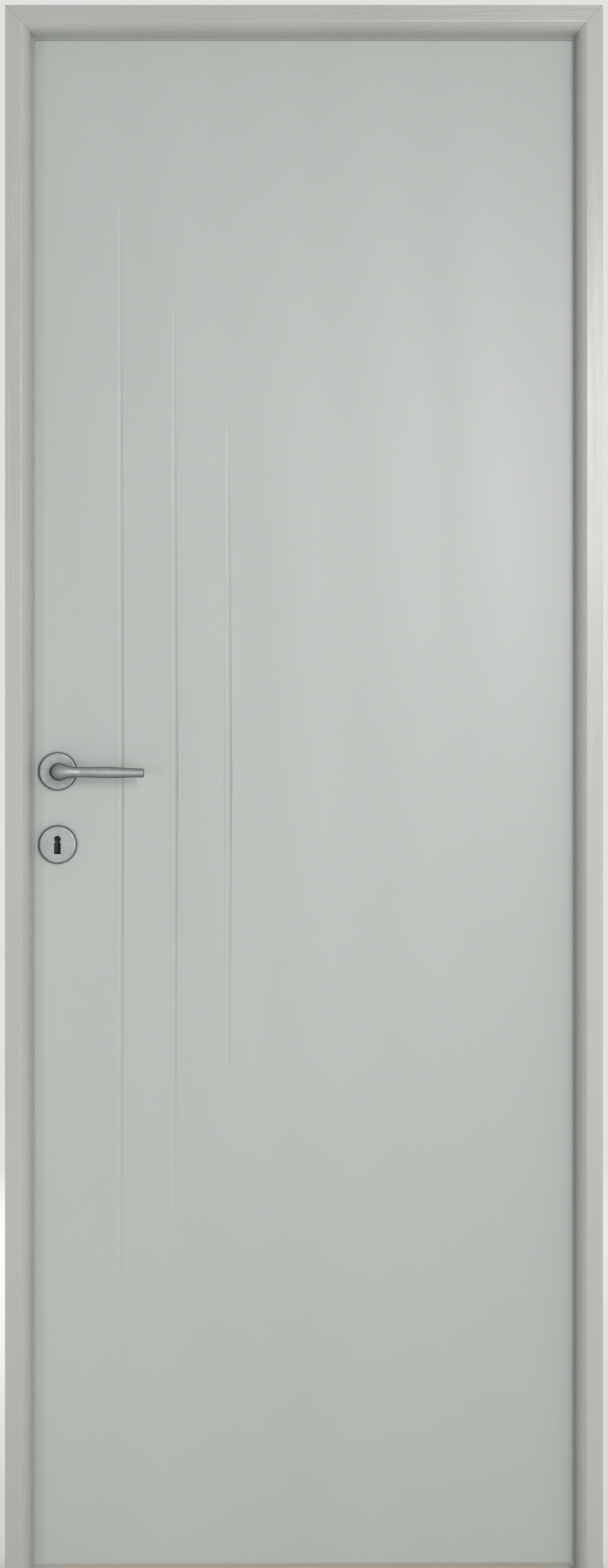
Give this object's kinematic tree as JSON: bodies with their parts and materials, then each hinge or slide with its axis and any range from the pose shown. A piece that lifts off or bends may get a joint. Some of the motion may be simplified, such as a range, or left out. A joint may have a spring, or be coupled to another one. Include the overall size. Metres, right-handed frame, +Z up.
{
  "type": "interior door",
  "caption": "Flush white interior door leaf with tapering upright grooves, hung in a rounded, mitred frame, with a lever handle and a keyhole plate on each face.",
  "frame": {"origin": "centre of the outer face of the jamb that carries the hinges, the face that is fastened to the wall", "axes": "+X out of the hinge jamb into the wall, +Y from the pushed side towards the side the leaf opens to, +Z up"},
  "size_m": [0.786, 0.1428, 2.073],
  "materials": {
    "frame_paint": "white satin paint over fine woodgrain",
    "leaf_paint": "smooth white satin paint on board",
    "edge_paint": "white satin paint on the leaf's long edges",
    "raw_wood": "planed softwood, primed thinly",
    "core_board": "light chipboard",
    "seal_rubber": "soft matt extrusion",
    "plate_metal": "satin anodised",
    "lever_metal": "satin anodised, worn smooth on the grip",
    "spindle_steel": "drawn steel bar",
    "lock_steel": "nickel plated",
    "case_zinc": "zinc plated sheet, dull grey",
    "hinge_steel": "nickel plated",
    "washer_brass": "turned"
  },
  "bodies": {
    "frame": {"lock_jamb": "frame_paint", "hinge_jamb": "frame_paint", "head": "frame_paint", "lock_seal": "seal_rubber", "hinge_seal": "seal_rubber", "head_seal": "seal_rubber", "strike_plate": "lock_steel", "frame_hinge_1": "hinge_steel", "frame_hinge_2": "hinge_steel", "frame_hinge_3": "hinge_steel", "hinge_washers": "washer_brass"},
    "leaf": {"front_skin": "leaf_paint", "back_skin": "leaf_paint", "lock_stile": "edge_paint", "hinge_stile": "edge_paint", "top_rail": "raw_wood", "bottom_rail": "raw_wood", "lock_block": "raw_wood", "leaf_core": "core_board", "lock_case": "case_zinc", "lock_forend": "lock_steel", "latch_bolt": "lock_steel", "deadbolt": "lock_steel", "leaf_hinge_1": "hinge_steel", "leaf_hinge_2": "hinge_steel", "leaf_hinge_3": "hinge_steel", "front_rose": "plate_metal", "back_rose": "plate_metal", "front_escutcheon": "plate_metal", "back_escutcheon": "plate_metal"},
    "lever": {"front_lever": "lever_metal", "back_lever": "lever_metal", "spindle": "spindle_steel"}
  },
  "joints": [
    {"name": "leaf_swing", "type": "hinge", "parent": "frame", "child": "leaf", "pos_m": [-0.0205, 0.05, 0], "axis": [0, 0, -1], "range_deg": [0, 175]},
    {"name": "lever_turn", "type": "hinge", "parent": "leaf", "child": "lever", "pos_m": [-0.721, 0.022, 0.0285], "axis": [0, 1, 0], "range_deg": [0, 40], "stiffness_Nm_per_rad": 1.4, "springref_deg": -20.05}
  ]
}
